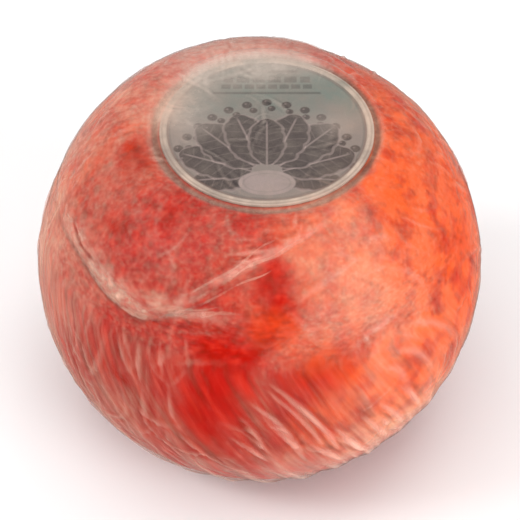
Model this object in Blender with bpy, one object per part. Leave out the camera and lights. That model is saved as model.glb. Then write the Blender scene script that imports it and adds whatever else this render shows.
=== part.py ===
"""A ball of cheese, sealed in clear film, with a round label on its flattened top.

Metres, +Z up. The origin is the centre of the flat base that the ball rests on. The front is -Y: longitudes
count from there, positive towards +X, and colatitudes count down from the top of the ball.
"""

import math

import bmesh
import bpy
import numpy as np

# Driving dimensions
BALL_RADIUS = 0.074  # out to the film, at the equator
FLAT_HEIGHT = 0.0592  # of the flat top and the flat base, from the equator
SHOULDER_HEIGHT = 0.0603  # where the shoulders would meet the axis if they weren't flattened
SHOULDER_SHARPNESS = 16  # how tightly the side turns into the flat top and base

LABEL_RADIUS = 0.0346
LABEL_CENTRE = (0.0022, 0.0012)  # stuck on a little off the axis
LABEL_THICKNESS = 0.0009
LABEL_BORDER = 0.0022  # width of the embossed border
LABEL_EMBOSSING = 0.00025  # by which the border stands over the printed field
LABEL_SEGMENTS = 96
FIT_GAP = 0.0003  # between the label and the seat that it lies in

LIP_OFFSET = 0.0022  # of the film's lip round the label, from the label's edge
LIP_HEIGHT = 0.0006
LIP_WIDTH = 0.0013

# The film is two layers on the top and upper left. The upper layer ends in a welt, which runs round the top
# through these longitudes and colatitudes, in degrees.
WELT_ROUTE = (
    (-150, 61),
    (-118, 66),
    (-84, 62.5),
    (-60, 60.5),
    (-44, 63),
    (-32, 63),
    (-22, 58),
    (-10, 50),
    (8, 42.5),
    (22, 39),
    (38, 37),
    (70, 36.5),
    (110, 37),
    (145, 40),
    (168, 46),
    (188, 55),
)
WELT_HEIGHT = 0.0006
WELT_WIDTH = 0.0016
LAYER_STEP = 0.0003  # by which the upper layer stands over the lower one
BACK_FOLD = (-173, 48, 26, 0.0014)  # a loose fold of the upper layer: as LOOSE_PLACES, ending at the welt

# The lower layer is gathered under the ball in pleats, which lean towards +X as they go down.
PLEATS = 30
PLEAT_HEIGHT = 0.0008
PLEAT_UNEVENNESS = 0.35  # share by which the height changes round the ball
PLEAT_START = 74  # colatitude, degrees
PLEAT_FULL = 142
PLEAT_TWIST = 0.5  # degrees of longitude for each degree of colatitude
FOOT_COLATITUDE = 152  # well within the flat base

# Loose film: longitude, colatitude, width and spare height of each place that stands off the cheese.
LOOSE_PLACES = (
    (-128, 44, 20, 0.0008),
    (-70, 78, 16, 0.0007),
    (28, 54, 18, 0.0006),
    (62, 80, 18, 0.0007),
    (-110, 100, 22, 0.0006),
    (120, 84, 24, 0.0007),
    (175, 92, 22, 0.0006),
)

COLUMNS = PLEATS * 4
ROWS_UNDER_LABEL = 3
ROWS_TO_WELT = 7
ROWS_TO_PLEATS = 5
ROWS_OF_PLEATS = 14
ROWS_IN_BASE = 3


def smooth_step(low, high, value):
    """0 at low and before it, 1 at high and past it, and smooth between them."""
    share = np.clip((value - low) / (high - low), 0, 1)
    return share * share * (3 - 2 * share)


def angle_between(longitude, colatitude, other_longitude, other_colatitude):
    """The angle at the ball's centre between two directions, all in degrees."""
    a, b = np.radians(colatitude), math.radians(other_colatitude)
    turn = np.radians(longitude - other_longitude)
    cosine = np.cos(a) * math.cos(b) + np.sin(a) * math.sin(b) * np.cos(turn)
    return np.degrees(np.arccos(np.clip(cosine, -1, 1)))


def welt_colatitude(longitude):
    """Colatitude of the welt at each longitude: a Catmull-Rom curve through WELT_ROUTE, closed on itself."""
    knots = np.array([place for place, _ in WELT_ROUTE], float)
    values = np.array([value for _, value in WELT_ROUTE], float)
    places = np.concatenate((knots[-2:] - 360, knots, knots[:2] + 360))
    heights = np.concatenate((values[-2:], values, values[:2]))
    slopes = np.gradient(heights, places)
    wrapped = (longitude - knots[0]) % 360 + knots[0]
    low = np.searchsorted(places, wrapped, side="right") - 1
    span = places[low + 1] - places[low]
    u = (wrapped - places[low]) / span
    return (
        (2 * u**3 - 3 * u**2 + 1) * heights[low]
        + (u**3 - 2 * u**2 + u) * span * slopes[low]
        + (3 * u**2 - 2 * u**3) * heights[low + 1]
        + (u**3 - u**2) * span * slopes[low + 1]
    )


def cheese_distance(colatitude):
    """Distance of the bare, round shape from the ball's centre: a sphere with flattened shoulders."""
    cosine = np.maximum(np.abs(np.cos(np.radians(colatitude))), 1e-6)
    power = SHOULDER_SHARPNESS
    return (BALL_RADIUS**-power + (SHOULDER_HEIGHT / cosine) ** -power) ** (-1 / power)


def lip_colatitude(longitude):
    """Colatitude at which each meridian crosses the film's lip, a circle round the label's centre."""
    radians = np.radians(longitude)
    along = LABEL_CENTRE[0] * np.sin(radians) - LABEL_CENTRE[1] * np.cos(radians)
    off_axis = math.hypot(*LABEL_CENTRE)
    lip_radius = LABEL_RADIUS + LIP_OFFSET
    reach = along + np.sqrt(lip_radius**2 - off_axis**2 + along**2)
    return np.degrees(np.arctan2(reach, FLAT_HEIGHT))


def relief(longitude, colatitude):
    """How far the film stands off the bare shape: loose places, the upper layer with its welt, and pleats."""
    rise = np.zeros_like(colatitude)
    for place, down, width, spare in LOOSE_PLACES:
        away = angle_between(longitude, colatitude, place, down)
        rise += spare * np.exp(-((away / width) ** 2))

    from_welt = np.radians(colatitude - welt_colatitude(longitude)) * BALL_RADIUS
    place, down, width, spare = BACK_FOLD
    away = angle_between(longitude, colatitude, place, down)
    upper_layer = LAYER_STEP + spare * np.exp(-((away / width) ** 2))
    rise += upper_layer * smooth_step(WELT_WIDTH, -WELT_WIDTH, from_welt)
    rise += WELT_HEIGHT * np.exp(-((from_welt / WELT_WIDTH) ** 2))

    from_lip = np.radians(colatitude - lip_colatitude(longitude)) * BALL_RADIUS
    rise += LIP_HEIGHT * np.exp(-((from_lip / LIP_WIDTH) ** 2))

    untwisted = np.radians(longitude - PLEAT_TWIST * (colatitude - PLEAT_START))
    wave = 0.5 + 0.5 * np.cos(untwisted * PLEATS)
    uneven = 1 + PLEAT_UNEVENNESS * np.sin(3 * untwisted) * np.cos(7 * untwisted)
    gathered = smooth_step(PLEAT_START, PLEAT_FULL, colatitude)
    return rise + PLEAT_HEIGHT * gathered * wave * uneven


def film_points(longitude, colatitude):
    """Points of the film, as an array of (x, y, z). The base is pressed flat, and so is the top within the lip."""
    distance = cheese_distance(colatitude) + relief(longitude, colatitude)
    turn, down = np.radians(longitude), np.radians(colatitude)
    x = distance * np.sin(down) * np.sin(turn)
    y = -distance * np.sin(down) * np.cos(turn)
    z = distance * np.cos(down)
    inside_lip = colatitude < lip_colatitude(longitude) - 1
    z = np.where(inside_lip, np.minimum(z, FLAT_HEIGHT), z)
    z = np.maximum(z, -FLAT_HEIGHT)
    return np.stack((x, y, z + FLAT_HEIGHT), axis=-1)


def ring_grid():
    """Longitudes and colatitudes of the film's rings, without the two poles. The rings keep to the lip and the
    welt, and the columns keep to the pleats, so that each fold has points along its crest."""
    start = np.arange(COLUMNS) * 360 / COLUMNS
    lip, welt = lip_colatitude(start), welt_colatitude(start)
    lip_edges = (-1.7, -0.8, 0, 1.0)  # degrees from the lip's crest
    welt_edges = (-1.9, -0.9, 0, 0.9, 1.9)  # degrees from the welt's crest
    rings = [lip * share for share in np.linspace(0, 0.94, ROWS_UNDER_LABEL + 1)[1:]]
    rings += [lip + step for step in lip_edges]
    inner, outer = lip + lip_edges[-1], welt + welt_edges[0]
    shares = np.linspace(0, 1, ROWS_TO_WELT + 1)[1:-1]
    rings += [inner + (outer - inner) * share for share in shares]
    rings += [welt + step for step in welt_edges]
    inner = welt + welt_edges[-1]
    shares = np.linspace(0, 1, ROWS_TO_PLEATS + 1)[1:]
    rings += [inner + (PLEAT_START - inner) * share for share in shares]
    rings += list(np.linspace(PLEAT_START, FOOT_COLATITUDE, ROWS_OF_PLEATS + 1)[1:])
    rings += list(np.linspace(FOOT_COLATITUDE, 180, ROWS_IN_BASE + 1)[1:-1])
    colatitude = np.array([np.broadcast_to(ring, COLUMNS) for ring in rings])
    twist = PLEAT_TWIST * np.maximum(colatitude - PLEAT_START, 0)
    return start + twist, colatitude


def new_object(name, mesh, colour, roughness):
    """Links an object with its own plain material."""
    material = bpy.data.materials.new(name)
    material.use_nodes = True
    shader = material.node_tree.nodes["Principled BSDF"]
    shader.inputs["Base Color"].default_value = (*colour, 1)
    shader.inputs["Roughness"].default_value = roughness
    mesh.materials.append(material)
    made = bpy.data.objects.new(name, mesh)
    bpy.context.scene.collection.objects.link(made)
    return made


def mesh_of(name, shape):
    """A mesh from a bmesh, with its faces pointing out and its round sides smooth."""
    bmesh.ops.recalc_face_normals(shape, faces=shape.faces)
    mesh = bpy.data.meshes.new(name)
    shape.to_mesh(mesh)
    shape.free()
    mesh.shade_smooth()
    mesh.set_sharp_from_angle(angle=math.radians(40))
    return mesh


def wrapped_cheese_ball():
    """The ball out to its film, as one solid."""
    shape = bmesh.new()
    rings = [[shape.verts.new(point) for point in ring] for ring in film_points(*ring_grid())]
    top = shape.verts.new((0, 0, 2 * FLAT_HEIGHT))
    foot = shape.verts.new((0, 0, 0))
    for column in range(COLUMNS):
        following = (column + 1) % COLUMNS
        shape.faces.new((top, rings[0][column], rings[0][following]))
        shape.faces.new((foot, rings[-1][following], rings[-1][column]))
        for upper, lower in zip(rings, rings[1:]):
            shape.faces.new((upper[column], lower[column], lower[following], upper[following]))
    ball = new_object("wrapped_cheese_ball", mesh_of("wrapped_cheese_ball", shape), (0.70, 0.08, 0.04), 0.25)

    cutter_shape = bmesh.new()
    bmesh.ops.create_cone(
        cutter_shape,
        cap_ends=True,
        segments=LABEL_SEGMENTS,
        radius1=LABEL_RADIUS + FIT_GAP,
        radius2=LABEL_RADIUS + FIT_GAP,
        depth=2 * (LABEL_THICKNESS + FIT_GAP),
    )
    cutter = bpy.data.objects.new("seat_cutter", mesh_of("seat_cutter", cutter_shape))
    cutter.location = (*LABEL_CENTRE, 2 * FLAT_HEIGHT)
    cutter.hide_render = True
    cutter.display_type = "WIRE"
    bpy.context.scene.collection.objects.link(cutter)
    seat = ball.modifiers.new("label_seat", "BOOLEAN")
    seat.operation = "DIFFERENCE"
    seat.object = cutter
    return ball


def top_label():
    """The round card label in its seat: a disc with an embossed border round the printed field."""
    shape = bmesh.new()
    circle = bmesh.ops.create_circle(shape, cap_ends=True, radius=LABEL_RADIUS, segments=LABEL_SEGMENTS)
    face = circle["verts"][0].link_faces[0]
    raised = bmesh.ops.extrude_face_region(shape, geom=[face])["geom"]
    lifted = [item for item in raised if isinstance(item, bmesh.types.BMVert)]
    bmesh.ops.translate(shape, verts=lifted, vec=(0, 0, LABEL_THICKNESS))
    field = next(item for item in raised if isinstance(item, bmesh.types.BMFace))
    bmesh.ops.inset_region(shape, faces=[field], thickness=LABEL_BORDER, depth=0)
    bmesh.ops.inset_region(shape, faces=[field], thickness=LABEL_EMBOSSING, depth=-LABEL_EMBOSSING)
    label = new_object("top_label", mesh_of("top_label", shape), (0.42, 0.44, 0.42), 0.4)
    label.location = (*LABEL_CENTRE, 2 * FLAT_HEIGHT - LABEL_THICKNESS)
    return label


for leftover in list(bpy.data.objects):
    bpy.data.objects.remove(leftover)

wrapped_cheese_ball()
top_label()
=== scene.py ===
"""A red-waxed ball of cheese in clear film, with a round label on its flattened top.

Metres, +Z up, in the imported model's own frame: the base rests on z = 0 about the origin, and the front is -Y.
Places on the ball are a longitude, in degrees from the front and positive towards +X, and a colatitude, in
degrees down from the top, both about the ball's centre.
"""

import itertools
import logging
import math
from dataclasses import dataclass, field
from enum import Enum
from typing import Iterable, Union

import bpy
import numpy as np
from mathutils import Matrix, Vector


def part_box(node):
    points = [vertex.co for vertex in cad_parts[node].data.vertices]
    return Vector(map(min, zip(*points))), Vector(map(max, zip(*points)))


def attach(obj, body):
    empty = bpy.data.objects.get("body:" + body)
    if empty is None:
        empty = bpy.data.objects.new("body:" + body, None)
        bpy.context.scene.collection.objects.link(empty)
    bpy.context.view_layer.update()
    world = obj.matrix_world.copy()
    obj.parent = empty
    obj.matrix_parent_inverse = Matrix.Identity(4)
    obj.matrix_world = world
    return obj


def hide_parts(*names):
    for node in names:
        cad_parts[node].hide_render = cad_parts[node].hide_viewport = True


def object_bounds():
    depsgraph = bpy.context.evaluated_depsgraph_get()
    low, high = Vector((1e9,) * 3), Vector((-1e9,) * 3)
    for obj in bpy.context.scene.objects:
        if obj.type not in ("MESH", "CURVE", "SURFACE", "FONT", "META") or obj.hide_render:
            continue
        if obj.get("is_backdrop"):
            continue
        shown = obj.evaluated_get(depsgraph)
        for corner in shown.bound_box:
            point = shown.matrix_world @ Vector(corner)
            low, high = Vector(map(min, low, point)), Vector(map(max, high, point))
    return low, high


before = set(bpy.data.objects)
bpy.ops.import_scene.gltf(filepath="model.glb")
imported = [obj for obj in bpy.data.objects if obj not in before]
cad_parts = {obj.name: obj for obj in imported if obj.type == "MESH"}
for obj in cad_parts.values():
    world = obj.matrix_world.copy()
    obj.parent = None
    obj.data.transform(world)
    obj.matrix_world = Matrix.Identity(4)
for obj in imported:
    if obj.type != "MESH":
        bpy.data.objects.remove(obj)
CAD_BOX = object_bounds()

BODY = "root"
BALL_NODE = "wrapped_cheese_ball"
LABEL_NODE = "top_label"
LOG = logging.getLogger("cheese")

Field = np.ndarray
Place = tuple[float, float]
Colour = tuple[float, float, float]


# --------------------------------------------------------------------------------------------------
# Numbers on arrays


def smooth_step(low: float, high: float, value: Field) -> Field:
    """0 at low and before it, 1 at high and past it, and 3u^2 - 2u^3 between them."""
    share = np.clip((value - low) / (high - low), 0, 1)
    return share * share * (3 - 2 * share)


def bell(distance: Field, width: Union[float, Field]) -> Field:
    """1 where the distance is 0, falling off as exp(-(distance / width)^2)."""
    return np.exp(-((distance / width) ** 2))


def directions_of(longitude: Field, colatitude: Field) -> Field:
    """Unit vectors from the ball's centre: (sin t sin l, -sin t cos l, cos t).

    Args:
        longitude: Degrees from the front, l.
        colatitude: Degrees from the top, t.

    Returns:
        An array with one more axis, of x, y and z.
    """
    turn, down = np.radians(longitude), np.radians(colatitude)
    turn, down = np.broadcast_arrays(turn, down)
    return np.stack((np.sin(down) * np.sin(turn), -np.sin(down) * np.cos(turn), np.cos(down)), axis=-1)


def angle_to(directions: Field, place: Place) -> Field:
    """Degrees between each direction and one place on the ball."""
    cosine = directions @ directions_of(np.array(place[0]), np.array(place[1]))
    return np.degrees(np.arccos(np.clip(cosine, -1, 1)))


def lattice_noise(points: Field, cell: float, seed: int, octaves: int = 1) -> Field:
    """Smooth noise from -1 to 1: random values on a cubic lattice, blended along each axis by 3u^2 - 2u^3.

    Args:
        points: Points in metres, with x, y and z on the last axis.
        cell: Side of the lattice's cells, metres.
        seed: Seed of the lattice's values.
        octaves: Layers that are added up, each half as large and half as strong as the one before.

    Returns:
        One number for each point.
    """
    size = 32
    table = np.random.default_rng(seed).uniform(-1, 1, (size, size, size))
    total = np.zeros(points.shape[:-1])
    for octave in range(octaves):
        sides = []
        for axis in range(3):
            scaled = points[..., axis] * (2**octave / cell) + 11.3 * (octave + 1)
            low = np.floor(scaled).astype(int)
            share = smooth_step(0, 1, scaled - low)
            pace = size ** (2 - axis)
            sides.append(((low % size * pace, 1 - share), ((low + 1) % size * pace, share)))
        for (i, u), (j, v), (k, w) in itertools.product(*sides):
            total += u * v * w * table.ravel()[i + j + k] / 2**octave
    return total


def cell_gap(points: Field, cell: float, seed: int) -> Field:
    """Distance to the second nearest less that to the nearest of points scattered one to a lattice cell.

    It is 0 along the borders of irregular cells, and rises evenly on both sides of them, as crumpled film
    does from its creases.

    Args:
        points: Points in metres, with x, y and z on the last axis.
        cell: Side of the lattice's cells, metres.
        seed: Seed of the scattered points.

    Returns:
        One number for each point, in cells.
    """
    size = 32
    tables = np.random.default_rng(seed).uniform(0, 1, (size, size, size, 3)).reshape(-1, 3).T.copy()
    sides = []
    for axis in range(3):
        scaled = points[..., axis] / cell + 7.7
        low = np.floor(scaled).astype(int)
        sides.append([((low + step) % size * size ** (2 - axis), low + step - scaled) for step in (-1, 0, 1)])
    first = np.full(points.shape[:-1], np.inf)
    second = first.copy()
    for corner in itertools.product(*sides):
        number = corner[0][0] + corner[1][0] + corner[2][0]
        away = sum((table[number] + offset) ** 2 for table, (_, offset) in zip(tables, corner))
        second = np.minimum(second, np.maximum(first, away))
        first = np.minimum(first, away)
    return np.sqrt(second) - np.sqrt(first)


# --------------------------------------------------------------------------------------------------
# Meshes


@dataclass
class RingSurface:
    """A surface on rings of points that close on themselves, from the top row down.

    Attributes:
        points: Rows by columns by 3, metres.
        fields: Numbers or vectors for each point, by attribute name.
        spare: Rows at the start and the end that only serve the normals of the row next to them.
        top: Point that closes the first ring, if any.
        foot: Point that closes the last ring, if any.
    """

    points: Field
    fields: dict[str, Field] = field(default_factory=dict)
    spare: tuple[int, int] = (0, 0)
    top: Union[tuple[float, float, float], None] = None
    foot: Union[tuple[float, float, float], None] = None

    def normals(self) -> Field:
        """Unit normals: the cross product of the steps along the columns and along the rows."""
        across = np.roll(self.points, -1, axis=1) - np.roll(self.points, 1, axis=1)
        down = np.gradient(self.points, axis=0)
        normal = np.cross(down, across)
        return normal / np.maximum(np.linalg.norm(normal, axis=-1, keepdims=True), 1e-12)

    def cut(self, row: int) -> tuple["RingSurface", "RingSurface"]:
        """The parts above and below a row. Both keep its ring, and the ring past it serves their normals.

        Args:
            row: The row to cut at, counted from the first, spare ones included.

        Returns:
            The upper and the lower surface.
        """
        upper = {name: values[: row + 2] for name, values in self.fields.items()}
        lower = {name: values[row - 1 :] for name, values in self.fields.items()}
        return (
            RingSurface(self.points[: row + 2], upper, (self.spare[0], 1), top=self.top),
            RingSurface(self.points[row - 1 :], lower, (1, self.spare[1]), foot=self.foot),
        )

    def piece(self, name: str) -> bpy.types.Object:
        """Makes the object: quads between the rings, a fan at each pole, attributes and smooth normals.

        Args:
            name: Name of the object.

        Returns:
            The object, linked into the scene.
        """
        rows = slice(self.spare[0], len(self.points) - self.spare[1])
        points, normals = self.points[rows], self.normals()[rows]
        count, columns = points.shape[:2]
        index = np.arange(count * columns).reshape(count, columns)
        right = np.roll(index, -1, axis=1)
        quads = np.stack((index[:-1], index[1:], right[1:], right[:-1]), axis=-1).reshape(-1, 4)
        faces, corners, shading = quads.tolist(), [points.reshape(-1, 3)], [normals.reshape(-1, 3)]
        poles = (self.top, index[0], right[0], 1), (self.foot, right[-1], index[-1], -1)
        for pole, ring, beside, up in poles:
            if pole is None:
                continue
            tip = np.full(columns, sum(map(len, corners)))
            faces += np.stack((tip, ring, beside), axis=-1).tolist()
            corners.append(np.array([pole]))
            shading.append(np.array([(0.0, 0.0, float(up))]))
        mesh = bpy.data.meshes.new(name)
        mesh.from_pydata(np.concatenate(corners).tolist(), [], faces)
        for key, values in self.fields.items():
            paint_field(mesh, key, values[rows].reshape(count * columns, -1))
        mesh.shade_smooth()
        mesh.normals_split_custom_set_from_vertices(np.concatenate(shading).tolist())
        return linked(name, mesh)


def paint_field(mesh: bpy.types.Mesh, name: str, values: Field) -> None:
    """Stores numbers, or vectors of three, as a point attribute.

    Args:
        mesh: Mesh that takes the attribute.
        name: Name that the finish reads.
        values: Points by 1 or by 3. Points past them, at the poles, take the last.
    """
    missing = len(mesh.vertices) - len(values)
    filled = np.concatenate((values, np.repeat(values[-1:], missing, axis=0))).astype(np.float32)
    kind, key = ("FLOAT", "value") if filled.shape[1] == 1 else ("FLOAT_VECTOR", "vector")
    mesh.attributes.new(name, kind, "POINT").data.foreach_set(key, filled.ravel())


def linked(name: str, mesh: bpy.types.Mesh) -> bpy.types.Object:
    """An object with this mesh, linked into the scene."""
    made = bpy.data.objects.new(name, mesh)
    bpy.context.scene.collection.objects.link(made)
    return made


def fit(piece: bpy.types.Object, material: bpy.types.Material, slot: str, *nodes: str) -> bpy.types.Object:
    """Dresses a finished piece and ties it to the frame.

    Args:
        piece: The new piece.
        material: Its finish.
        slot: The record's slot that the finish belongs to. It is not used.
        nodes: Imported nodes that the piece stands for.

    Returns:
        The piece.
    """
    piece.data.materials.append(material)
    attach(piece, BODY)
    if nodes:
        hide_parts(*nodes)
    return piece


# --------------------------------------------------------------------------------------------------
# Finishes


class Level:
    """A number that varies over a surface: a socket with the arithmetic that adds Math nodes."""

    def __init__(self, bench: "Bench", socket: bpy.types.NodeSocket) -> None:
        """Wraps an output socket of the bench's material."""
        self.bench, self.socket = bench, socket

    def _maths(self, operation: str, *values: "Amount") -> "Level":
        """A Math node of this operation on the values."""
        node = self.bench.node("ShaderNodeMath", {"operation": operation}, dict(enumerate(values)))
        return Level(self.bench, node.outputs[0])

    def __add__(self, other: "Amount") -> "Level":
        """self + other."""
        return self._maths("ADD", self, other)

    __radd__ = __add__

    def __sub__(self, other: "Amount") -> "Level":
        """self - other."""
        return self._maths("SUBTRACT", self, other)

    def __rsub__(self, other: "Amount") -> "Level":
        """other - self."""
        return self._maths("SUBTRACT", other, self)

    def __mul__(self, other: "Amount") -> "Level":
        """self * other."""
        return self._maths("MULTIPLY", self, other)

    __rmul__ = __mul__

    def __pow__(self, power: float) -> "Level":
        """self to a power."""
        return self._maths("POWER", self, power)

    def clipped(self, low: float, high: float) -> "Level":
        """The number held between low and high."""
        return self._maths("MINIMUM", self._maths("MAXIMUM", self, low), high)

    def step(self, low: float, high: float) -> "Level":
        """0 at low, 1 at high, smooth between them."""
        settings = {"interpolation_type": "SMOOTHSTEP"}
        sockets = {"Value": self, "From Min": low, "From Max": high}
        return Level(self.bench, self.bench.node("ShaderNodeMapRange", settings, sockets).outputs[0])


Amount = Union[Level, float]


class Bench:
    """The node tree of one material, and the few ways in which finishes add nodes to it."""

    def __init__(self, name: str) -> None:
        """Starts a material with nothing but its output."""
        self.material = bpy.data.materials.new(name)
        self.material.use_nodes = True
        self.tree = self.material.node_tree
        self.tree.nodes.clear()
        self.output = self.tree.nodes.new("ShaderNodeOutputMaterial")

    def node(self, kind: str, settings: Union[dict, None] = None, sockets: Union[dict, None] = None):
        """Adds a node.

        Args:
            kind: The node's type.
            settings: Its properties, such as a Math node's operation.
            sockets: Values or links of its inputs, by name or number.

        Returns:
            The node.
        """
        made = self.tree.nodes.new(kind)
        for key, value in (settings or {}).items():
            setattr(made, key, value)
        for key, value in (sockets or {}).items():
            self.feed(made.inputs[key], value)
        return made

    def feed(self, socket: bpy.types.NodeSocket, value) -> None:
        """Links an output to a socket, or sets the socket's own value."""
        value = value.socket if isinstance(value, Level) else value
        if isinstance(value, bpy.types.NodeSocket):
            self.tree.links.new(value, socket)
        elif isinstance(value, tuple) and len(value) != len(socket.default_value):
            socket.default_value = (*value, 1)
        else:
            socket.default_value = value

    def attribute(self, name: str) -> Level:
        """The piece's own point attribute, as a number."""
        return Level(self, self.node("ShaderNodeAttribute", {"attribute_name": name}).outputs["Fac"])

    def vector(self, name: str) -> bpy.types.NodeSocket:
        """The piece's own point attribute, as a vector."""
        return self.node("ShaderNodeAttribute", {"attribute_name": name}).outputs["Vector"]

    def place(self) -> bpy.types.NodeSocket:
        """Object coordinates, which are the frame's own, in metres."""
        return self.node("ShaderNodeTexCoord").outputs["Object"]

    def noise(self, where: bpy.types.NodeSocket, scale: float, detail: float = 2) -> Level:
        """Perlin noise about 0.5, with this many waves in a metre."""
        sockets = {"Vector": where, "Scale": scale, "Detail": detail}
        return Level(self, self.node("ShaderNodeTexNoise", None, sockets).outputs["Fac"])

    def mixed(self, share: Amount, first, second) -> bpy.types.NodeSocket:
        """A colour between two: the first where the share is 0 and the second where it is 1."""
        node = self.node("ShaderNodeMix", {"data_type": "RGBA"}, {0: share, 6: first, 7: second})
        return node.outputs[2]

    def bump(self, height: Level, distance: float) -> bpy.types.NodeSocket:
        """Normals of a surface that rises by this distance, in metres, where the height is 1."""
        sockets = {"Height": height, "Distance": distance, "Strength": 1.0}
        return self.node("ShaderNodeBump", None, sockets).outputs[0]

    def blended(self, share: Amount, first, second) -> bpy.types.NodeSocket:
        """A Mix Shader: the first where the share is 0 and the second where it is 1."""
        return self.node("ShaderNodeMixShader", None, {0: share, 1: first, 2: second}).outputs[0]

    def finished(self, surface: bpy.types.NodeSocket) -> bpy.types.Material:
        """The material, with this shader as its surface."""
        self.feed(self.output.inputs["Surface"], surface)
        return self.material


@dataclass(frozen=True)
class HazeFinish:
    """The pale haze that lifted film lays over what is under it.

    A piece's attributes say how much: "haze", and a softer one for film that is lifted smoothly, which also
    carries painted highlights and reflections of the lights on the film.
    "blush" is the haze's warmth, and "grain" holds coordinates along which its fine stretch lines run.

    Attributes:
        pale: Colour of the haze.
        blush: Colour of the haze where it takes up the wax's own.
    """

    pale: Colour = (0.72, 0.52, 0.42)
    blush: Colour = (0.84, 0.47, 0.29)

    def share(self, bench: Bench) -> Level:
        """How much of the haze's colour is seen."""
        place, grain = bench.place(), bench.vector("grain")
        cloud, strands = bench.noise(place, 110, 3), bench.noise(grain, 300, 2)
        mottle = bench.noise(grain, 620, 3)
        uneven = 0.1 + 0.4 * cloud.step(0.2, 0.8) + strands.step(0.2, 0.8) + 0.4 * mottle.step(0.15, 0.85)
        soft = 0.45 + 0.6 * cloud + 0.5 * mottle
        # The softer share is partly painted highlights and reflections of the lights on the film.
        return bench.attribute("haze") * uneven + bench.attribute("veil") * soft

    def tint(self, bench: Bench) -> bpy.types.NodeSocket:
        """The haze's colour."""
        warmth = bench.attribute("blush") * (0.6 + 0.8 * bench.noise(bench.place(), 110, 3))
        return bench.mixed(warmth.clipped(0, 1), self.pale, self.blush)


@dataclass(frozen=True)
class WaxFinish:
    """Red cheese wax under film: deep red where thick and orange in its thin places, mottled and a little
    dimpled. The orange is partly the wax's own tone and partly painted light, on the side where the key light
    falls.

    The piece's "thin" and "shade" attributes place its colours: its orange, which is partly painted light, and
    its painted shadow and shade.
    "loose" says where the film is off it, and "grain" holds coordinates along which its flecks run.

    Attributes:
        thick: Colour of thick wax.
        thin: Colour of its orange places, partly the wax's own tone and partly painted light.
        bright: Colour of its lighter streaks.
        stain: Colour of its darker flecks.
        shade: Colour of the painted shadow in the narrow gap round the label and under the welt, and of the
            painted shade in darker places.
        haze: The haze over it.
        speckle: Haze of the film's finest touches on it.
        roughness: Of its surface.
    """

    thick: Colour = (0.46, 0.005, 0.002)
    thin: Colour = (0.84, 0.095, 0.012)
    bright: Colour = (0.70, 0.032, 0.014)
    stain: Colour = (0.25, 0.012, 0.004)
    shade: Colour = (0.13, 0.035, 0.022)
    haze: HazeFinish = HazeFinish()
    speckle: float = 0.10
    roughness: float = 0.42

    def material(self) -> bpy.types.Material:
        """The wax, with streaks of its own under a share of haze."""
        bench = Bench("red_wax")
        place, grain = bench.place(), bench.vector("grain")
        cloud, streaks = bench.noise(place, 110, 4), bench.noise(grain, 330, 3)
        # The orange places: partly the wax's own tone, partly painted light on the side where the key light
        # falls.
        thin = (bench.attribute("thin") * (0.2 + 1.6 * cloud.step(0.25, 0.75))).clipped(0, 1)
        colour = bench.mixed(0.65 * streaks.step(0.46, 0.74), self.thick, self.bright)
        colour = bench.mixed(thin, colour, self.thin)
        flecks = 0.65 * (1 - streaks.step(0.26, 0.52)) + 0.25 * bench.noise(place, 130, 3).step(0.40, 0.66)
        colour = bench.mixed(flecks * (1 - 0.6 * thin), colour, self.stain)
        # Painted shadow in the gap round the label and under the welt, and painted shade in darker places.
        colour = bench.mixed(bench.attribute("shade"), colour, self.shade)
        speckle = self.speckle * bench.noise(grain, 620, 3).step(0.42, 0.75) * bench.attribute("loose")
        share = (self.haze.share(bench) + speckle).clipped(0, 0.9)
        colour = bench.mixed(share, colour, self.haze.tint(bench))
        dimples = bench.noise(place, 160, 3) * 0.7 + bench.noise(grain, 620, 3) * 0.3
        sockets = {
            "Base Color": colour,
            "Roughness": self.roughness,
            "Specular IOR Level": 0.02,
            "Normal": bench.bump(dimples, 0.0004),
        }
        return bench.finished(bench.node("ShaderNodeBsdfPrincipled", None, sockets).outputs[0])


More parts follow.
